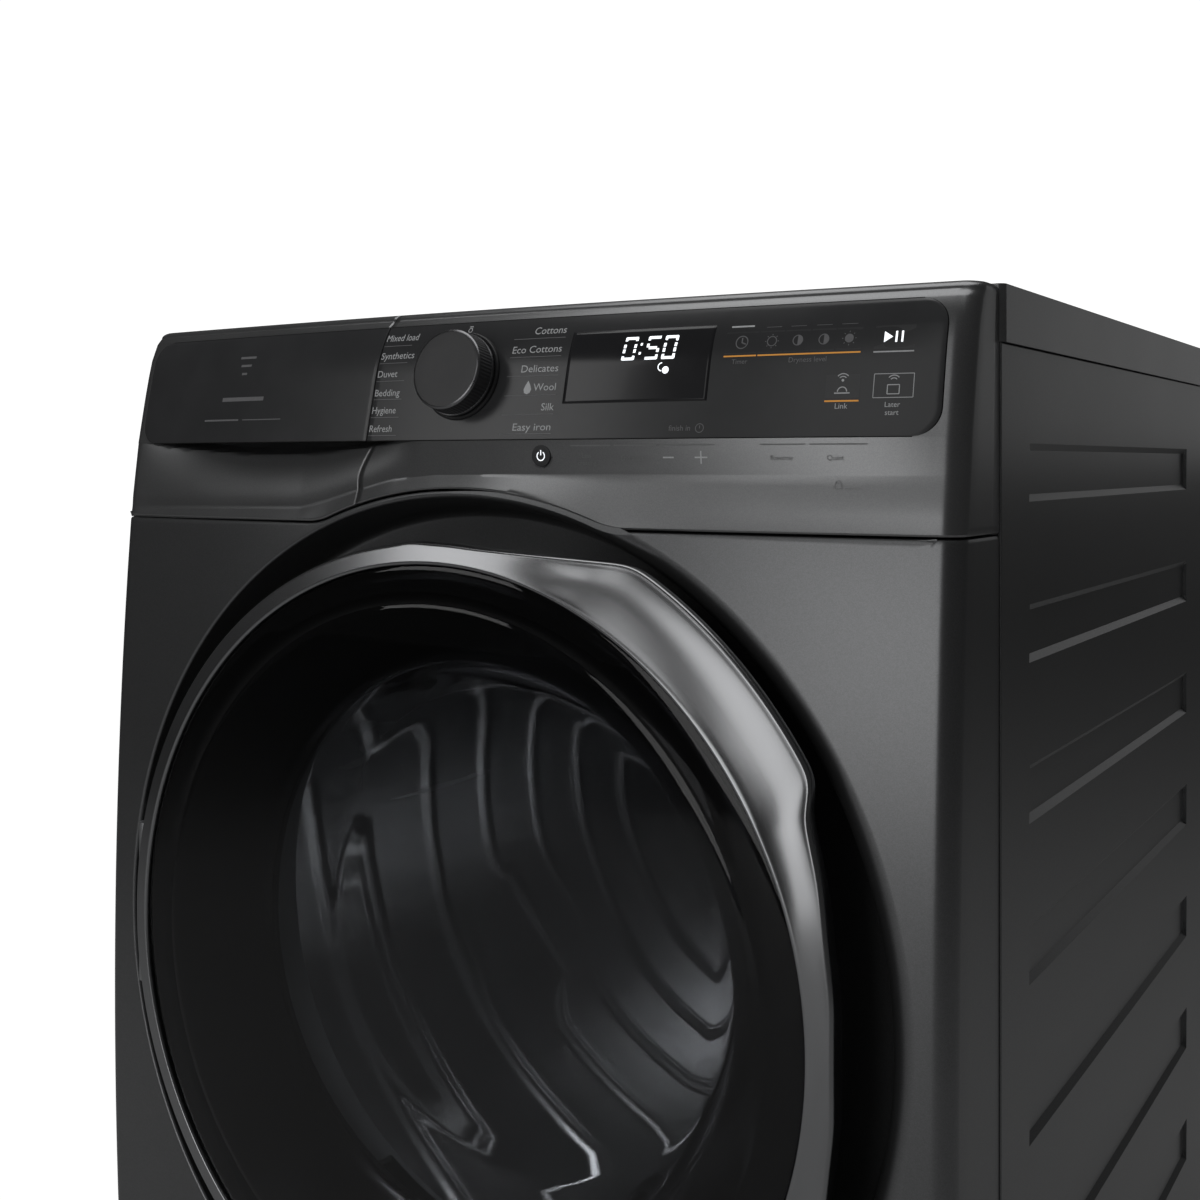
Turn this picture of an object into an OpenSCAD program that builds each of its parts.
// Front-loading heat-pump clothes dryer, in millimetres, +Z up, front facing -Y.
// The origin is the middle of the footprint on the floor. Distances called "behind the
// front" are measured from the plane through the front's two side edges.

/* [Cabinet] */
// width over the worktop
body_w = 600; // [590:1:610]
// height from the floor to the top of the worktop
body_h = 850; // [845:1:860]
// plane of the front's side edges
front_y = -289; // [-300:1:-270]
// outer face of the rear panel
rear_y = 301; // [280:1:320]
// width of the front panel and the control fascia
front_w = 595; // [585:1:600]
// how far the middle of the front bows forward
bow = 14.5; // [5:0.5:25]
// rounding of the front's vertical corners
corner_r = 20; // [8:1:35]
// how far behind the front the side panel starts
return_d = 58; // [40:1:80]
// worktop thickness
top_t = 30; // [20:1:40]
// sheet steel thickness
sheet = 1; // [0.6:0.1:1.5]
// underside of the base
base_z = 20; // [12:1:30]
// floor of the base, top face
base_floor = 26; // [22:1:34]
// top of the cabinet sheet work, under the worktop
shell_top = 819.5; // [810:0.5:825]
// bottom edge of the front panel
front_z = 26; // [20:1:40]

/* [Control fascia] */
// seam between the fascia and the front panel
seam_z = 721.5; // [700:0.5:740]
// upper edge of the light band above the seam
band_z = 751; // [740:1:760]
// lower edge of the dark control inlay
inlay_z = 771; // [760:1:780]
// upper edge of the dark control inlay
inlay_top = 840.5; // [830:0.5:845]
// lean of the inlay's lower part from the vertical, degrees
inlay_tilt = 13; // [8:0.5:25]
// height where the inlay starts to round back towards the top
shoulder_z = 810; // [800:1:825]
// how fast the shoulder rounds back, per mm
shoulder = 0.0069; // [0.002:0.0001:0.01]
// half the width of the inlay
inlay_half = 285; // [270:1:290]
// corner rounding of the inlay
inlay_r = 15; // [6:1:25]
// thickness of the inlay plates
inlay_t = 2.2; // [1.5:0.1:3]
// wall of the fascia moulding
wall = 4.5; // [3:0.5:6]
// gap at the seams
gap = 0.8; // [0.4:0.1:1.5]
// X of the joint between the water drawer and the control part
split_x = -67.8; // [-90:0.1:-50]
// radius of the arch over the door
arch_r = 274.5; // [260:0.5:285]
// rounding where the arch meets the straight seam
arch_fillet = 50; // [20:1:80]

/* [Controls] */
// height of the programme dial's centre
dial_z = 808; // [795:0.1:812]
// radius of the dial
dial_r = 23.6; // [20:0.1:30]
// height of the dial's face above the inlay
dial_h = 17; // [12:0.1:28]
// height of the middle of the control board
board_z = 803.4; // [800:0.1:806]
// X of the power button
power_x = 60.5; // [40:0.5:90]
// height of the power button
power_z = 761.7; // [755:0.1:768]
// radius of the power button
power_r = 6.4; // [4:0.1:9]
// left edge of the display window
display_x = 72; // [60:1:90]
// width of the display window
display_w = 89; // [70:1:110]
// lower edge of the display window
display_z = 790.5; // [780:0.5:800]
// height of the display window
display_h = 40.5; // [30:0.5:50]

/* [Door] */
// height of the drum and door axis
door_z = 468; // [440:1:490]
// inner radius of the door ring
ring_in = 232; // [220:1:240]
// outer radius of the door ring
ring_out = 244; // [238:1:252]
// outer radius of the ring at the handle
grip_r = 269.5; // [260:0.5:275]
// mouth radius of the recess round the door
recess_r = 270; // [262:1:280]
// bore of the recess floor
throat_r = 190; // [170:1:200]
// hinge axis X
hinge_x = -250; // [-256:0.5:-246]
// hinge axis, distance behind the front
hinge_d = -22; // [-30:0.5:-10]

/* [Drum] */
// outer radius of the drum shell
drum_r = 284; // [270:1:290]
// front rim of the drum, behind the front
drum_front = 75; // [65:1:90]
// rear rim of the drum, behind the front
drum_back = 560; // [500:1:570]
// drum sheet thickness
drum_t = 1.2; // [0.6:0.1:2]
// radius of a drum support roller
roller_r = 30; // [20:1:40]
// angle of each support roller from straight down
roller_angle = 35; // [25:1:45]
// radius of the motor pulley
pulley_r = 10; // [8:0.5:14]
// radius of the idler pulley
idler_r = 14; // [10:0.5:20]
// motor shaft X
motor_x = 175; // [160:1:200]
// motor shaft height
motor_z = 120; // [100:1:140]

/* [Water drawer] */
// bottom of the water tank
tank_z = 753.5; // [750:0.5:760]
// rear end of the water tank
tank_end = 130; // [80:1:160]

/* [Hidden] */

fit = 0.05;
touch = 0.3;
hw = front_w / 2;
back_edge = front_y + return_d;
bow_r = (hw * hw + bow * bow) / (2 * bow);
bow_cy = front_y - bow + bow_r;
corner_cx = hw - corner_r;
corner_cy = bow_cy - sqrt(pow(bow_r - corner_r, 2) - pow(corner_cx, 2));
sweep = 12;
tan_tilt = tan(inlay_tilt);
lift = 1.3;
round_n = 96;
bow_n = 2880;
side_x = body_w / 2 - 1.5;
rib_pitch = 87.2;
rib_h = 32;
rib_d = 3;
panel_mid = 400;
panel_rv = 3700;
flap_x0 = -270;
flap_x1 = 10;
flap_top = 151;
flap_axis_z = 34;
flap_axis_d = 8;
hinge_y = front_y + hinge_d;
roller_gap = drum_r + roller_r + touch;
belt_y = -8;
belt_w = 8;
belt_t = 1.5;
motor_dz = motor_z - door_z;
motor_dist = norm([motor_x, motor_dz]);
motor_dir = atan2(motor_dz, motor_x);
lap = acos((drum_r - pulley_r) / motor_dist);
slack = motor_dir - lap;
idler_u = 196;
idler_x = (drum_r + touch) * cos(slack) - idler_u * sin(slack)
    + (belt_t + idler_r + touch) * cos(slack);
idler_z = door_z + (drum_r + touch) * sin(slack) + idler_u * cos(slack)
    + (belt_t + idler_r + touch) * sin(slack);

graphite = [0.28, 0.29, 0.30];
dark = [0.13, 0.13, 0.14];
black = [0.06, 0.06, 0.07];
steel = [0.62, 0.63, 0.65];
chrome = [0.80, 0.81, 0.83];
plastic = [0.45, 0.46, 0.48];
pale = [0.80, 0.80, 0.78];
smoke = [0.20, 0.22, 0.25, 0.45];
copper = [0.72, 0.42, 0.26];

// depth of the front panel's face behind the seam line, at height z
function face_d(z) = (pow(z - panel_mid, 2) - pow(seam_z - panel_mid, 2)) / (2 * panel_rv);

// depth of the inlay's face behind the seam line, at height z
function inlay_d(z) = lift + (z - inlay_z) * tan_tilt
    + shoulder * pow(max(0, z - shoulder_z), 2);

// how far the bowed front lies behind its crown, at X
function bow_d(x) = bow_r - sqrt(bow_r * bow_r - x * x);

// Y of a point that is d behind the seam line, at X
function face_y(x, d) = front_y - bow + bow_d(x) + d;

fascia_pts = concat([[0, seam_z], [4, band_z], [lift, inlay_z]],
    [for (z = [shoulder_z:6.1:inlay_top + 0.1]) [inlay_d(z), z]],
    [[28, 844.5], [37, body_h - 0.5]]);
panel_pts = [for (z = [front_z:43.45:seam_z + 44]) [face_d(z), z]];

// plan outline of the front: bowed face, rounded corners, straight returns
module plan(t, y_back) {
    difference() {
        intersection() {
            translate([0, bow_cy])
                circle(r = bow_r - t, $fn = bow_n);
            translate([t - hw, front_y - 2 * bow])
                square([2 * (hw - t), y_back - front_y + 2 * bow]);
        }
        for (s = [-1, 1])
            translate([s * corner_cx, corner_cy])
                difference() {
                    translate([s > 0 ? 0 : -corner_r - 1, -2 * corner_r])
                        square([corner_r + 1, 2 * corner_r]);
                    circle(r = corner_r - t, $fn = round_n);
                }
    }
}

// everything behind a face profile that is swept along the bow
module bowed(pts, t, deep = 90) {
    n = len(pts) - 1;
    translate([0, bow_cy, 0])
        rotate([0, 0, -90 - sweep / 2])
            rotate_extrude(angle = sweep, $fn = bow_n)
                polygon(concat([for (p = pts) [bow_r - p[0] - t, p[1]]],
                    [[bow_r - deep, pts[n][1]], [bow_r - deep, pts[0][1]]]));
}

// front block between two heights, inset by t
module front_block(pts, t, z0, z1, y_back) {
    intersection() {
        translate([0, 0, z0])
            linear_extrude(z1 - z0)
                plan(t, y_back);
        bowed(pts, t);
    }
}

// axis-aligned box from its lowest to its highest corner
module span(a, b) {
    translate(a)
        cube(b - a);
}

// cylinder along Y at a point of the front view
module rod_y(r, y0, y1, x = 0, z = door_z) {
    translate([x, y0, z])
        rotate([-90, 0, 0])
            cylinder(r = r, h = y1 - y0, $fn = round_n);
}

// cylinder along X
module rod_x(r, x0, x1, y, z) {
    translate([x0, y, z])
        rotate([0, 90, 0])
            cylinder(r = r, h = x1 - x0, $fn = round_n);
}

// cylinder along Z
module rod_z(r, z0, z1, x, y) {
    translate([x, y, z0])
        cylinder(r = r, h = z1 - z0, $fn = round_n);
}

// solid of revolution about the drum axis, from (radius, Y) points
module turned(pts) {
    translate([0, 0, door_z])
        rotate([-90, 0, 0])
            rotate_extrude($fn = round_n)
                polygon(pts);
}

// flat ring along Y about the drum axis
module ring_y(r0, r1, y0, y1) {
    turned([[r0, y0], [r1, y0], [r1, y1], [r0, y1]]);
}

// front-view outline of everything above the seam, relative to the door axis
module above_seam(shift) {
    r = arch_r - shift;
    f = arch_fillet + shift;
    z = seam_z - door_z - shift;
    cz = z + f;
    cx = sqrt(pow(r + f, 2) - cz * cz);
    difference() {
        translate([-hw - 10, z])
            square([2 * hw + 20, 200]);
        circle(r = r, $fn = round_n);
        for (s = [-1, 1])
            difference() {
                polygon([[s * cx, z - 5], [s * cx, cz],
                    [s * cx * r / (r + f), cz * r / (r + f)], [s * (cx - 30), z - 5]]);
                translate([s * cx, cz])
                    circle(r = f, $fn = round_n);
            }
    }
}

// prism of a front-view outline, centred on the door axis
module front_prism(y0, y1) {
    translate([0, y1, door_z])
        rotate([90, 0, 0])
            linear_extrude(y1 - y0)
                children();
}

// rounded rectangle from its corners
module pill(x0, z0, x1, z1, r) {
    difference() {
        translate([x0, z0])
            square([x1 - x0, z1 - z0]);
        for (c = [[x0, z0, 1, 1], [x1, z0, -1, 1], [x0, z1, 1, -1], [x1, z1, -1, -1]])
            translate([c[0] + c[2] * r, c[1] + c[3] * r])
                difference() {
                    translate([c[2] > 0 ? -r - 1 : 0, c[3] > 0 ? -r - 1 : 0])
                        square(r + 1);
                    circle(r = r, $fn = round_n);
                }
    }
}

// profile of the inlay's face, run on past its edges
function inlay_pts(z0, z1) = concat([[inlay_d(z0), z0]],
    [for (z = [shoulder_z:6.1:inlay_top + 0.1]) [inlay_d(z), z]], [[inlay_d(z1), z1]]);

// slab that follows the inlay's face, between two depths
module inlay_slab(d0, d1, x0, x1, grow) {
    intersection() {
        difference() {
            bowed(inlay_pts(740, 850), d0);
            bowed(inlay_pts(739, 851), d1);
        }
        front_prism(front_y - 40, back_edge)
            translate([0, -door_z])
                intersection() {
                    pill(-inlay_half - grow, inlay_z - grow, inlay_half + grow,
                        inlay_top + grow, inlay_r);
                    translate([x0, inlay_z - 5])
                        square([x1 - x0, inlay_top - inlay_z + 10]);
                }
    }
}

// frame standing on the inlay's face at height z, local Z out of the face
module on_inlay(z = dial_z) {
    translate([0, face_y(0, inlay_d(z)), z])
        rotate([90 - inlay_tilt, 0, 0])
            children();
}

// finger scoop under the drawer's inlay
module scoop(g) {
    intersection() {
        rod_x(46 + g, -285, -80, front_y - 36, 768);
        rod_z(160 + g, 700, inlay_z - 0.4, -182, front_y - 142);
    }
}

// wall behind the scoop
module scoop_skin() {
    intersection() {
        scoop(3);
        translate([-182.5, face_y(-182.5, 3.5), 750])
            rotate([0, 0, -3.4])
                translate([-150, 0, -80])
                    cube([300, 80, 160]);
    }
}

// drawer's side of its joint with the control part, front view
module drawer_side(c) {
    polygon([[-310, 700], [-85 - c, 700], [-85 - c, 747], [split_x - c, inlay_z - 0.7],
        [split_x - c, 860], [-310, 860]]);
}

// control part's side of the same joint
module control_side(c) {
    polygon([[310, 700], [310, 860], [split_x - c, 860], [split_x - c, inlay_z - 0.7],
        [-85 - c, 747], [-85 - c, 700]]);
}

// the arch with its roundings, cut from the fascia's lower edge
module arch_cut() {
    z = seam_z - door_z;
    cz = z + arch_fillet - 0.15;
    r = arch_r + arch_fillet - 0.1;
    cx = sqrt(r * r - cz * cz);
    circle(r = arch_r, $fn = round_n);
    for (s = [-1, 1])
        difference() {
            polygon([[s * cx, z - 6], [s * cx, cz], [s * cx * arch_r / r, cz * arch_r / r],
                [s * (cx - 30), z - 6]]);
            translate([s * cx, cz])
                circle(r = arch_fillet, $fn = round_n);
        }
}

module base_pan() color(black) {
    difference() {
        span([-290, -225, base_z], [290, 290, 62]);
        span([-286, -221, base_floor], [286, 286, 70]);
        span([-282, -230, base_floor], [14, -215, 70]);
        for (x = [-255, 255], y = [-190, 255])
            rod_z(5 + fit, 10, 40, x, y);
    }
    for (x = [-255, 255], y = [-190, 255])
        difference() {
            rod_z(11, base_floor, base_floor + 1.6, x, y);
            rod_z(5 + fit, 10, 40, x, y);
        }
    span([18, -215, base_floor], [21, -30, 58]);
    span([24, 200, base_floor], [27, 284, 58]);
}

module levelling_feet() color(dark)
    for (x = [-255, 255], y = [-190, 255]) {
        rod_z(22, 0, 7, x, y);
        rod_z(9, 7, 13, x, y);
        rod_z(5, 13, base_floor + 1, x, y);
    }

// one side wall with its pressed ribs, outer face towards s
module side_panel(s) {
    mirror([s > 0 ? 0 : 1, 0, 0])
        difference() {
            union() {
                span([side_x - sheet, back_edge + 0.5, base_z + 2],
                    [side_x, rear_y - 1, shell_top]);
                span([side_x - 13, back_edge + 0.5, base_z + 2],
                    [side_x, back_edge + 0.5 + sheet, shell_top]);
                span([side_x - 13, rear_y - 1 - sheet, base_z + 2],
                    [side_x, rear_y - 1, shell_top]);
                span([side_x - 13, back_edge + 0.5, shell_top - sheet],
                    [side_x, rear_y - 1, shell_top]);
                side_ribs(sheet);
            }
            side_ribs(0);
        }
}

// sunk ribs of the side wall; g is the sheet added round them
module side_ribs(g) {
    for (i = [0:7])
        translate([0, 240 + g, 752.5 - i * rib_pitch])
            rotate([90, 0, 0])
                linear_extrude(421 + 2 * g)
                    polygon([[side_x + (g > 0 ? -0.01 : 1), -rib_h / 2 - 1 - g],
                        [side_x - rib_d - g, 4 - rib_h / 2 - g],
                        [side_x - rib_d - g, rib_h / 2 - 4 + g],
                        [side_x + (g > 0 ? -0.01 : 1), rib_h / 2 + 1 + g]]);
}

module side_panel_left() color(graphite)
    side_panel(-1);

module side_panel_right() color(graphite)
    side_panel(1);

module rear_panel() color(steel)
    difference() {
        span([-296.5, rear_y - 1, base_z + 2], [296.5, rear_y, shell_top]);
        rod_y(30, rear_y - 2, rear_y + 1);
        for (a = [0:15:359])
            rod_y(13, rear_y - 2, rear_y + 1, 150 * cos(a), door_z + 150 * sin(a));
        for (a = [0:30:359])
            rod_y(13, rear_y - 2, rear_y + 1, 100 * cos(a), door_z + 100 * sin(a));
        span([125, rear_y - 2, 66], [225, rear_y + 1, 174]);
        for (i = [0:8])
            span([-250, rear_y - 2, 60 + i * 12], [-170, rear_y + 1, 65 + i * 12]);
        rod_y(9.2, rear_y - 2, rear_y + 1, -240, 700);
        rod_y(11.2, rear_y - 2, rear_y + 1, 262, 92);
    }

module rear_duct_cover() color(plastic) {
    front_prism(front_y + 617, front_y + 620)
        duct_outline(0);
    difference() {
        front_prism(rear_y, front_y + 617)
            duct_outline(0);
        front_prism(rear_y - 1, front_y + 618)
            duct_outline(3);
    }
    difference() {
        front_prism(rear_y, rear_y + 2)
            duct_outline(-10);
        front_prism(rear_y - 1, rear_y + 3)
            duct_outline(1);
    }
}

// round hot-air cover with its leg down to the blower
module duct_outline(t) {
    circle(r = 215 - t, $fn = round_n);
    translate([112 + t, 50 - door_z + t])
        square([126 - 2 * t, 330 - 2 * t]);
}

module worktop_board() color(graphite)
    span([-284, -217, 824], [284, rear_y - 8, body_h]);

module worktop_trim() color(graphite)
    difference() {
        translate([0, 0, body_h - top_t])
            linear_extrude(top_t)
                pill(-body_w / 2, back_edge + 0.4, body_w / 2, rear_y + 8, 4);
        span([-284, -217, 823], [284, rear_y - 8, body_h + 1]);
        span([-270, -205, 800], [270, rear_y - 20, 830]);
    }

module cross_bars() color(steel) {
    span([-284, back_edge + 3, 814.5], [284, back_edge + 43, 818]);
    difference() {
        span([-284, 250, 790], [284, 296, 818]);
        span([-290, 253, 780], [290, 293, 815]);
    }
}

module front_panel() color(graphite) {
    difference() {
        union() {
            difference() {
                front_block(panel_pts, 0, front_z, 745, back_edge);
                front_block(panel_pts, sheet, front_z - 1, 746, back_edge - 12);
                span([-hw + 12, front_y + 20, 0], [hw - 12, 0, 900]);
            }
            intersection() {
                turned([[recess_r - 8, front_y + 24], [recess_r - 8, front_y + 22],
                    [recess_r, front_y - 40], [recess_r + 1.5, front_y - 40],
                    [recess_r - 6.5, front_y + 24]]);
                bowed(panel_pts, 0);
            }
            ring_y(throat_r, recess_r - 7, front_y + 22, front_y + 24);
            for (x = [flap_x0 - 5.5, flap_x1 + 2.5])
                intersection() {
                    span([x, front_y - 20, 27], [x + 3, front_y + 16, 42]);
                    bowed(panel_pts, 0);
                }
        }
        turned([[0, front_y + 22], [recess_r - 8, front_y + 22], [recess_r, front_y - 40],
            [0, front_y - 40]]);
        ring_y(0, throat_r, front_y - 40, front_y + 40);
        front_prism(front_y - 60, front_y + 100)
            above_seam(gap);
        span([flap_x0, front_y - 60, 0], [flap_x1, front_y + 60, flap_top]);
        span([200, front_y + 10, door_z - 11], [219, front_y + 30, door_z + 11]);
        rod_x(3 + fit, flap_x0 - 10, flap_x1 + 10, front_y + flap_axis_d, flap_axis_z);
    }
}

module front_bulkhead() color(plastic) {
    difference() {
        union() {
            front_prism(front_y + 57, front_y + 60)
                intersection() {
                    translate([-283, 184 - door_z])
                        square([566, 560]);
                    circle(r = 330, $fn = round_n);
                }
            ring_y(throat_r, throat_r + 3, front_y + 24.4, front_y + 60);
            ring_y(253.5, 257, front_y + 60, front_y + 84);
        }
        ring_y(0, throat_r, front_y, front_y + 100);
        span([-104, front_y, 150], [104, front_y + 56, 330]);
        span([-283.5, front_y + 40, 735], [-60, front_y + 70, 760]);
        span([-284, front_y + 50, seam_z - 1], [284, back_edge + touch, 760]);
        for (s = [-1, 1])
            rod_y(5 + fit, front_y + 50, front_y + 70, s * roller_gap * sin(roller_angle),
                door_z - roller_gap * cos(roller_angle));
    }
}

module fascia_housing() color(graphite)
    difference() {
        union() {
            difference() {
                front_block(fascia_pts, 0, seam_z, body_h - 0.5, back_edge);
                front_block(fascia_pts, wall, seam_z + wall, body_h - wall, back_edge + 1);
            }
            for (x = [split_x + 4, 190])
                span([x, face_y(x, 36), 822], [x + 3, back_edge, body_h - 3.5]);
        }
        front_prism(front_y - 60, back_edge + 2)
            arch_cut();
        inlay_slab(-4, inlay_t, split_x - 20, 300, touch);
        front_prism(front_y - 60, front_y + 44)
            translate([0, -door_z])
                drawer_side(0);
        span([-288.5, front_y + 30, seam_z + 20], [-72, back_edge + 1, 816]);
        on_inlay()
            cylinder(r = 7, h = 40, center = true, $fn = round_n);
        rod_y(power_r + touch, front_y - 30, front_y + 30, power_x, power_z);
    }

module control_inlay() color(dark)
    difference() {
        inlay_slab(0, inlay_t, split_x + gap, 290, 0);
        display_prism(touch);
        on_inlay()
            cylinder(r = 7, h = 40, center = true, $fn = round_n);
    }

// prism of the display window, grown by g
module display_prism(g) {
    front_prism(front_y - 40, back_edge)
        translate([0, -door_z])
            pill(display_x - g, display_z - g, display_x + display_w + g,
                display_z + display_h + g, 2);
}

module display_window() color(black)
    intersection() {
        inlay_slab(0.3, inlay_t, display_x - 5, display_x + display_w + 5, 0);
        display_prism(0);
    }

module control_board() color([0.10, 0.30, 0.18])
    on_inlay(board_z) {
        difference() {
            span([-58, -28, -24], [268, 24, -22.4]);
            translate([0, (dial_z - board_z) / cos(inlay_tilt), 0])
                cylinder(r = 4, h = 80, center = true, $fn = round_n);
        }
        span([display_x + 4, -10, -22.4], [display_x + display_w - 4, 22, -13]);
        span([180, -26, -22.4], [204, -8, -18]);
        span([215, -26, -22.4], [240, -10, -18]);
        for (i = [0:4])
            span([-50 + i * 9, -27, -22.4], [-44 + i * 9, -20, -17]);
    }

module dial_socket() color(black)
    on_inlay()
        difference() {
            union() {
                translate([0, 0, -5.6])
                    cylinder(r = 6.7, h = 7, $fn = round_n);
                cylinder(r = dial_r + 1.6, h = 2.2, $fn = round_n);
                span([-8, -8, -22.4], [8, 8, -5.5]);
            }
            translate([0, 0, -30])
                cylinder(r = 3 + fit, h = 60, $fn = round_n);
        }

module dial_knob() color(graphite)
    on_inlay() {
        difference() {
            rotate_extrude($fn = round_n)
                polygon([[0, 3], [dial_r + 0.8, 3], [dial_r, dial_h - 1.4],
                    [dial_r - 1.3, dial_h], [0, dial_h]]);
            difference() {
                translate([0, 0, 2])
                    cylinder(r = dial_r - 3, h = dial_h - 4.5, $fn = round_n);
                cylinder(r = 6, h = 30, $fn = round_n);
            }
        }
        translate([0, 0, -18])
            cylinder(r = 3, h = 24, $fn = round_n);
    }

module power_button() color(graphite) {
    rod_y(power_r, face_y(power_x, 2.7) - 1.2, face_y(power_x, 2.7) + 9, power_x, power_z);
    rod_y(power_r + 1.8, face_y(power_x, 2.7) + 7, face_y(power_x, 2.7) + 9, power_x, power_z);
}

module drawer_front() color(graphite)
    difference() {
        union() {
            difference() {
                front_block(fascia_pts, 0, seam_z, body_h - 0.5, front_y + 43.6);
                front_block(fascia_pts, wall, seam_z + wall, body_h - wall, front_y + 45);
            }
            scoop_skin();
            span([-284, front_y + 40, 754], [-78, front_y + 43.6, 812]);
            for (x = [-250, -110])
                span([x, face_y(x, inlay_d(812) + 2.6), 790], [x + 3, front_y + 43, 812]);
        }
        front_prism(front_y - 60, back_edge + 2)
            arch_cut();
        front_prism(front_y - 60, front_y + 80)
            translate([0, -door_z])
                control_side(gap);
        scoop(0);
        inlay_slab(-4, inlay_t, -300, 0, touch);
    }

module drawer_inlay() color(dark)
    inlay_slab(0, inlay_t, -290, split_x - gap, 0);

module water_tank() color(pale)
    difference() {
        span([-279, front_y + 43.6, tank_z], [-82, tank_end, 810]);
        span([-277, front_y + 45.6, tank_z + 2], [-84, tank_end - 2, 811]);
    }

module tank_lid() color(plastic)
    difference() {
        span([-279, front_y + 43.6, 810], [-82, tank_end, 812]);
        rod_z(16, 800, 820, -120, front_y + 119);
        span([-240, -60, 800], [-160, -30, 820]);
    }

module drawer_housing() color(plastic)
    difference() {
        span([-286, back_edge + 4, 750], [-75, tank_end + 20, 813.5]);
        span([-283.5, back_edge + 3, 752.5], [-77.5, tank_end + 17.5, 815]);
        rod_y(7 + fit, tank_end, tank_end + 30, -262, 790);
    }

// front-view outline of the door ring, with the grip on the right
module ring_outline() {
    circle(r = ring_out, $fn = round_n);
    intersection() {
        circle(r = grip_r, $fn = round_n);
        polygon([[-20, 245.2], [136, 236], [280, 236], [280, 153], [222, 153], [239, 86.5],
            [246, 30], [246, -30], [239, -86.5], [222, -153], [280, -153], [280, -236],
            [136, -236], [-20, -245.2], [-60, 0]]);
    }
}

module door_ring() color(chrome)
    intersection() {
        turned([[ring_in, front_y - 37], [ring_in + 1.5, front_y - 38.5],
            [ring_out, front_y - 36], [grip_r + 1, front_y - 28.5],
            [grip_r + 1, front_y - 24.5], [ring_in, front_y - 24.5]]);
        front_prism(front_y - 60, front_y)
            ring_outline();
    }

module door_glass() color(smoke)
    turned(concat([for (i = [0:11]) [i * (ring_in - 0.5) / 11, front_y - 42 + i * i * 0.05]],
        [for (i = [11:-1:0]) [i * (ring_in - 0.5) / 11, front_y - 38 + i * i * 0.05]]));

module door_shell() color(black) {
    ring_y(211, ring_in - 0.5, front_y - 31.5, front_y - 27.5);
    ring_y(211, 238, front_y - 24.5, front_y - 20.5);
    ring_y(211, 215, front_y - 31.5, front_y + 16);
    ring_y(174, 215, front_y + 13, front_y + 16);
    turned([[214, front_y - 31.5], [209, front_y - 31.5], [172.5, front_y + 5],
        [172.5, front_y + 16], [176, front_y + 16], [176, front_y + 7], [214, front_y - 30]]);
}

module door_bowl() color(smoke)
    turned([[176, front_y + 16], [186, front_y + 16], [186, front_y + 20],
        [172, front_y + 20], [154, front_y + 58], [120, front_y + 62], [0, front_y + 63],
        [0, front_y + 59], [119, front_y + 58], [151, front_y + 54.5], [169, front_y + 16]]);

module bowl_clamp() color(black)
    ring_y(174, 188, front_y + 20, front_y + 24);

module latch_hook() color(plastic) {
    span([203, front_y + 16, door_z - 8], [208, front_y + 40, door_z + 8]);
    span([208, front_y + 33, door_z - 8], [212, front_y + 40, door_z + 8]);
    span([198, front_y + 16, door_z - 12], [211, front_y + 18, door_z + 12]);
}

module hinge_leaf() color(steel) {
    difference() {
        union() {
            rod_z(4.8, door_z - 22, door_z + 22, hinge_x, hinge_y);
            span([hinge_x, front_y - 20.5, door_z - 22], [-218, front_y - 17.2, door_z + 22]);
        }
        rod_z(3 + fit, door_z - 30, door_z + 30, hinge_x, hinge_y);
    }
}

module hinge_bracket() color(steel) {
    for (s = [0, 1])
        translate([0, 0, door_z])
            mirror([0, 0, s]) {
                rod_z(4.8, 22.5, 52, hinge_x, hinge_y);
                span([hinge_x - 4.8, hinge_y, 22.5], [hinge_x - 1, front_y + 22, 52]);
                span([hinge_x - 4.8, front_y + 18, 22.5], [-222, front_y + 22, 52]);
            }
    rod_z(3, door_z - 40, door_z + 40, hinge_x, hinge_y);
}

module latch_catch() color(black)
    difference() {
        span([196, front_y + 24, door_z - 15], [224, front_y + 46, door_z + 15]);
        span([199, front_y + 20, door_z - 11.5], [220, front_y + 43, door_z + 11.5]);
    }

module door_gasket() color(black)
    turned([[throat_r + 1, front_y + 22], [throat_r + 3, front_y + 16.4],
        [throat_r + 6, front_y + 16.4], [throat_r + 8, front_y + 22]]);

module lint_filter() color(plastic) {
    difference() {
        span([-96, front_y + 31, 206], [96, front_y + 52, 268]);
        span([-93, front_y + 33, 209], [93, front_y + 50, 270]);
        for (i = [0:7], y = [front_y + 30, front_y + 49])
            span([-90 + i * 23, y, 214], [-72 + i * 23, y + 4, 262]);
    }
    difference() {
        span([-96, front_y + 31, 262], [96, front_y + 52, 268]);
        for (i = [0:10])
            span([-88 + i * 16, front_y + 34, 260], [-78 + i * 16, front_y + 49, 270]);
    }
}

module filter_housing() color(plastic) {
    difference() {
        span([-100, front_y + 27, 152], [100, front_y + 56, 272]);
        span([-97.5, front_y + 29.5, 150], [97.5, front_y + 53.5, 280]);
    }
    difference() {
        span([-95, front_y + 53.5, 152], [8, front_y + 139, 177]);
        span([-92.5, front_y + 50, 150], [5.5, front_y + 136.5, 174.5]);
    }
    difference() {
        span([-97.5, front_y + 29.5, 196], [97.5, front_y + 53.5, 200]);
        span([-92, front_y + 33, 190], [92, front_y + 50, 205]);
    }
}

module moisture_sensor() color(steel)
    for (z = [222, 232])
        span([-45, front_y + 60, z], [45, front_y + 61.5, z + 5]);

module drum_lamp() color(pale)
    rod_y(17, front_y + 60, front_y + 64, 112, door_z + 194);

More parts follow.
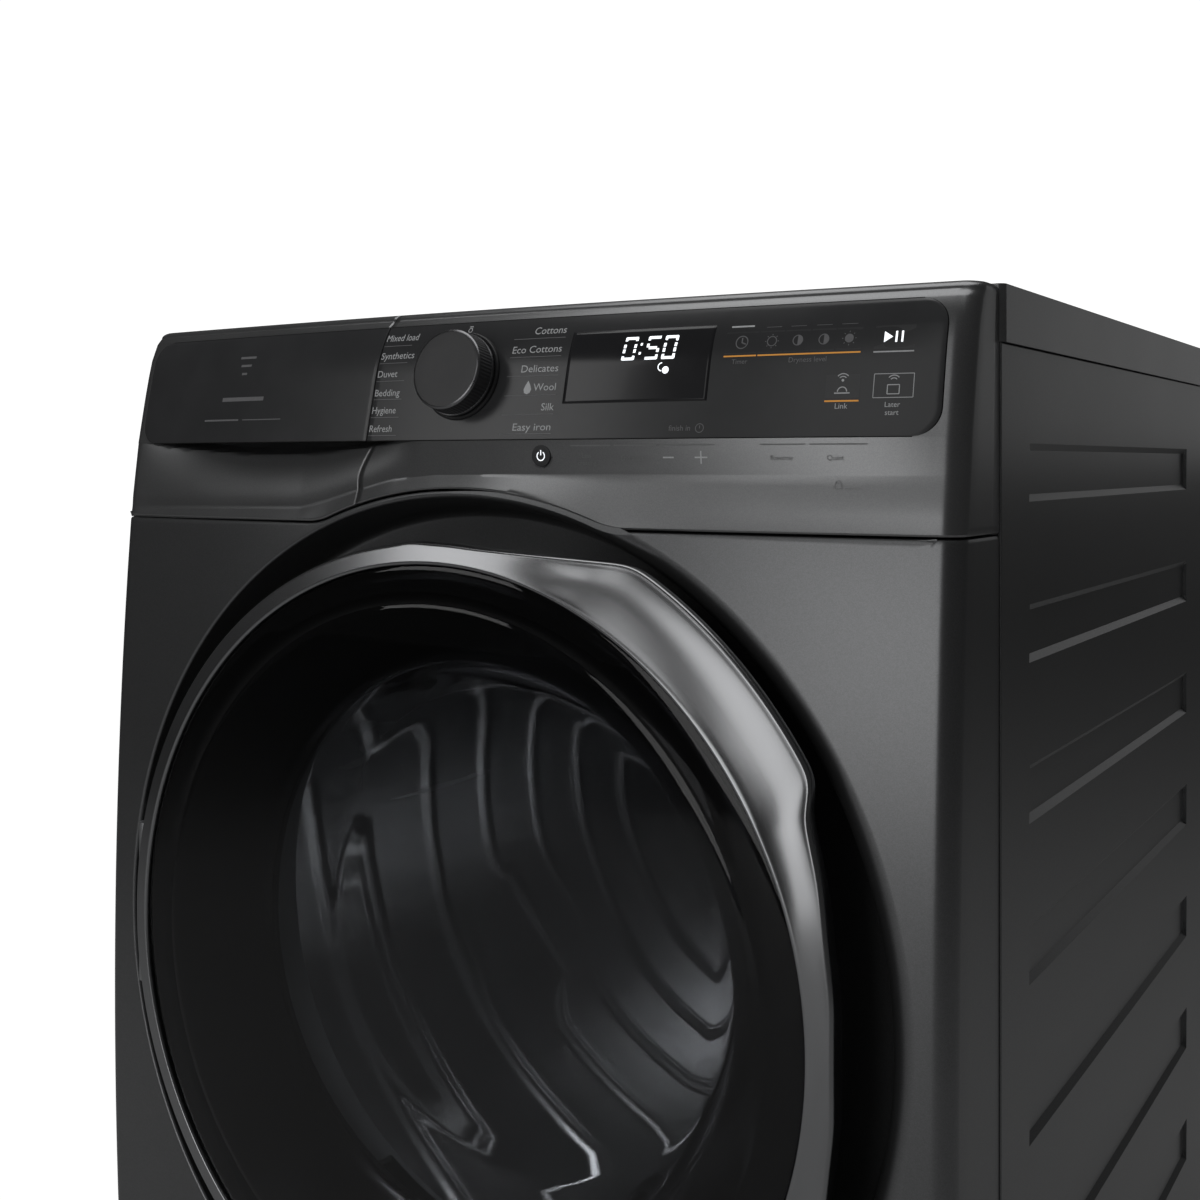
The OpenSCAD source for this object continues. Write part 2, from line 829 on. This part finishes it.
module drum_shell() color(steel) {
    inner = drum_r - drum_t;
    y0 = front_y + drum_front;
    y1 = front_y + drum_back;
    difference() {
        union() {
            ring_y(inner, drum_r, y0, y1);
            ring_y(262, drum_r, y0, y0 + drum_t);
            ring_y(261, 263, y0, y0 + 5);
            for (i = [0:6])
                ring_y(inner - 3, inner + 0.3, y0 + 42 + i * 62, y0 + 56 + i * 62);
        }
        for (i = [0:6])
            ring_y(inner - 3 + drum_t, drum_r + 1, y0 + 43.2 + i * 62, y0 + 54.8 + i * 62);
    }
}

module drum_lifters() color(plastic)
    for (a = [90, 210, 330])
        translate([0, 0, door_z])
            rotate([0, a, 0])
                translate([0, front_y + 545, 0])
                    rotate([90, 0, 0])
                        linear_extrude(450)
                            polygon([[drum_r - 8, -30], [drum_r - 36, -12],
                                [drum_r - 50, -7], [drum_r - 50, 7], [drum_r - 36, 12],
                                [drum_r - 8, 30]]);

module drum_rear_wall() color(steel)
    difference() {
        ring_y(0, drum_r - drum_t, front_y + 549, front_y + 550.5);
        for (r = [60, 90, 120, 150, 180], i = [0:r / 5 - 1])
            rod_y(4, front_y + 545, front_y + 555, r * cos(i * 1800 / r),
                door_z + r * sin(i * 1800 / r));
    }

module drum_shaft() color(steel) {
    rod_y(45, front_y + 550.5, front_y + 555);
    rod_y(10, front_y + 555, rear_y + 12);
}

module drum_bearing() color(steel)
    difference() {
        union() {
            rod_y(42, rear_y, rear_y + 3);
            rod_y(20, rear_y - 14, rear_y + 14);
        }
        rod_y(10 + fit, rear_y - 20, rear_y + 20);
    }

module drum_felts() color(pale) {
    ring_y(257, 260.6, front_y + 70, front_y + 84);
    ring_y(226, 232, front_y + 551, rear_y - 1);
}

// one drum support roller on the side s
module drum_roller(s)
    translate([s * roller_gap * sin(roller_angle), 0, -roller_gap * cos(roller_angle)]) {
        difference() {
            rod_y(roller_r, front_y + 88, front_y + 106);
            rod_y(5 + fit, front_y + 80, front_y + 120);
            difference() {
                rod_y(roller_r - 6, front_y + 80, front_y + 91);
                rod_y(9, front_y + 70, front_y + 95);
            }
        }
    }

module drum_roller_left() color(black)
    drum_roller(-1);

module drum_roller_right() color(black)
    drum_roller(1);

module roller_axles() color(steel)
    for (s = [-1, 1])
        translate([s * roller_gap * sin(roller_angle), 0, -roller_gap * cos(roller_angle)]) {
            rod_y(5, front_y + 56, front_y + 109);
            rod_y(8, front_y + 60, front_y + 87.6);
            rod_y(7, front_y + 106.4, front_y + 109);
        }

// belt path in front view, at an offset outside the drum and the pulley
module belt_path(g) {
    a = drum_r + g;
    b = pulley_r + g;
    circle(r = a, $fn = round_n);
    translate([motor_x, motor_dz])
        circle(r = b, $fn = round_n);
    polygon([for (t = [[a, lap, 0], [b, lap, 1], [b, -lap, 1], [a, -lap, 0]])
        [t[0] * cos(motor_dir + t[1]) + t[2] * motor_x,
            t[0] * sin(motor_dir + t[1]) + t[2] * motor_dz]]);
}

module drive_belt() color(black)
    front_prism(belt_y - belt_w / 2, belt_y + belt_w / 2)
        difference() {
            belt_path(touch + belt_t);
            belt_path(touch);
        }

module motor() color(steel)
    difference() {
        union() {
            rod_y(50, 12, 112, motor_x, motor_z);
            rod_y(20, 8, 116, motor_x, motor_z);
            span([motor_x - 45, 24, base_floor], [motor_x + 45, 34, motor_z - 30]);
            span([motor_x - 45, 90, base_floor], [motor_x + 45, 100, motor_z - 30]);
        }
        rod_y(6 + fit, 0, 130, motor_x, motor_z);
        for (a = [0:30:359])
            rod_y(4, 0, 20, motor_x + 36 * cos(a), motor_z + 36 * sin(a));
    }

module motor_rotor() color(steel) {
    rod_y(6, -4, 188, motor_x, motor_z);
    rod_y(pulley_r, -14, 2, motor_x, motor_z);
    rod_y(pulley_r + 4, -15.5, -14, motor_x, motor_z);
    rod_y(pulley_r + 4, 2, 3.5, motor_x, motor_z);
    rod_y(70, 140, 142, motor_x, motor_z);
    rod_y(12, 142, 180, motor_x, motor_z);
    difference() {
        rod_y(70, 178, 180, motor_x, motor_z);
        rod_y(50, 170, 190, motor_x, motor_z);
    }
    for (a = [0:15:359])
        translate([motor_x, 0, motor_z])
            rotate([0, a, 0])
                span([52, 141, -0.8], [69, 179, 0.8]);
}

module blower_housing() color(plastic) {
    difference() {
        union() {
            rod_y(84, 134, 192, motor_x, motor_z);
            span([125, 189, 66], [225, rear_y - 1, 174]);
            span([15, 137, 40], [motor_x - 70, 189, 140]);
        }
        rod_y(81, 137, 189, motor_x, motor_z);
        rod_y(9, 120, 140, motor_x, motor_z);
        span([128, 185, 69], [222, rear_y + 1, 171]);
        span([10, 140, 43], [motor_x - 60, 186, 137]);
    }
    span([motor_x - 20, 140, base_floor], [motor_x + 20, 180, motor_z - 82]);
}

module idler_arm() color(steel) {
    rod_y(10, 4, 8, idler_x, idler_z);
    span([idler_x - 8, 4, base_floor + 4], [idler_x + 8, 8, idler_z]);
    span([idler_x - 14, 4, base_floor], [idler_x + 14, 30, base_floor + 4]);
    rod_y(4, -18, 4, idler_x, idler_z);
}

module idler_pulley() color(black)
    difference() {
        rod_y(idler_r, -16, 0, idler_x, idler_z);
        rod_y(4 + fit, -20, 10, idler_x, idler_z);
    }

module exchanger_housing() color(black)
    difference() {
        span([-282, -215, base_floor], [15, 192, 150]);
        span([-279, -220, base_floor + 3], [12, 189, 147]);
        span([-90, -205, 140], [4, front_y + 136, 155]);
        span([10, 140, 43], [20, 186, 137]);
        rod_z(12, base_floor - 1, base_floor + 2, -255, -190);
    }

module exchanger_cover() color(plastic) {
    difference() {
        span([-281, -221, base_floor + 2], [13, -215, 149]);
        span([-264, -223, 44], [-4, -219, 134]);
    }
    for (x = [-225, -42]) {
        rod_y(11, -227, -219, x, 89);
        span([x - 4, -232, 80], [x + 4, -227, 112]);
    }
}

// finned coil between two Y planes
module coil(y0, y1) {
    for (i = [0:18])
        span([-272 + i * 15, y0, 36], [-270.8 + i * 15, y1, 140]);
    for (z = [52, 78, 104, 128], y = [y0 + 22, y1 - 22])
        rod_x(4.5, -276, 6, y, z);
    span([-276, y0, 32], [-274.8, y1, 144]);
    span([4.8, y0, 32], [6, y1, 144]);
}

module evaporator() color(steel)
    coil(-135, -30);

module condenser() color(steel)
    coil(0, 120);

module compressor() color(black) {
    rod_z(66, 44, 168, 208, -92);
    rod_z(58, 168, 182, 208, -92);
    rod_z(40, 182, 190, 208, -92);
    for (a = [90, 210, 330]) {
        rod_z(9, base_floor, 40, 208 + 58 * cos(a), -92 + 58 * sin(a));
        rod_z(16, 40, 44, 208 + 58 * cos(a), -92 + 58 * sin(a));
    }
}

module service_lines() color(copper) {
    pipe_run(60, 60);
    pipe_run(84, -70);
}

// sump pump that lifts the condensed water, with its hose stub
module condensate_pump() color(plastic) {
    span([-60, 215, base_floor], [10, 275, 90]);
    rod_z(18, 90, 104, -35, 245);
    span([-2, 262, 70], [10, 284, 84]);
    rod_z(6, 70, 118, 4, 284);
}

// copper tube from the coil's side to the compressor
module pipe_run(z, y) {
    rod_x(4, 15, 40, y, z);
    translate([40, y, z])
        sphere(r = 4, $fn = round_n);
    rod_y(4, min(y, -110), max(y, -110), 40, z);
    translate([40, -110, z])
        sphere(r = 4, $fn = round_n);
    rod_x(4, 40, 143.4, -110, z);
}

module lower_flap() color(graphite) {
    intersection() {
        difference() {
            bowed(panel_pts, 0);
            bowed(panel_pts, 5);
        }
        span([flap_x0 + gap, front_y - 40, front_z],
            [flap_x1 - gap, front_y + 40, flap_top - gap]);
    }
    intersection() {
        bowed(panel_pts, 2);
        union() {
            span([flap_x0 + gap, front_y - 20, front_z],
                [flap_x0 + gap + 6, front_y + 14, 42]);
            span([flap_x1 - gap - 6, front_y - 20, front_z],
                [flap_x1 - gap, front_y + 14, 42]);
        }
    }
    rod_x(3, flap_x0 - 5.5, flap_x0 + 3, front_y + flap_axis_d, flap_axis_z);
    rod_x(3, flap_x1 - 3, flap_x1 + 5.5, front_y + flap_axis_d, flap_axis_z);
}

base_pan();
levelling_feet();
side_panel_left();
side_panel_right();
rear_panel();
rear_duct_cover();
worktop_board();
worktop_trim();
cross_bars();
front_panel();
front_bulkhead();
fascia_housing();
control_inlay();
display_window();
control_board();
dial_socket();
dial_knob();
power_button();
drawer_front();
drawer_inlay();
water_tank();
tank_lid();
drawer_housing();
door_ring();
door_glass();
door_shell();
door_bowl();
bowl_clamp();
latch_hook();
hinge_leaf();
hinge_bracket();
latch_catch();
door_gasket();
lint_filter();
filter_housing();
moisture_sensor();
drum_lamp();
drum_shell();
drum_lifters();
drum_rear_wall();
drum_shaft();
drum_bearing();
drum_felts();
drum_roller_left();
drum_roller_right();
roller_axles();
drive_belt();
motor();
motor_rotor();
blower_housing();
idler_arm();
idler_pulley();
exchanger_housing();
exchanger_cover();
evaporator();
condenser();
compressor();
service_lines();
condensate_pump();
lower_flap();
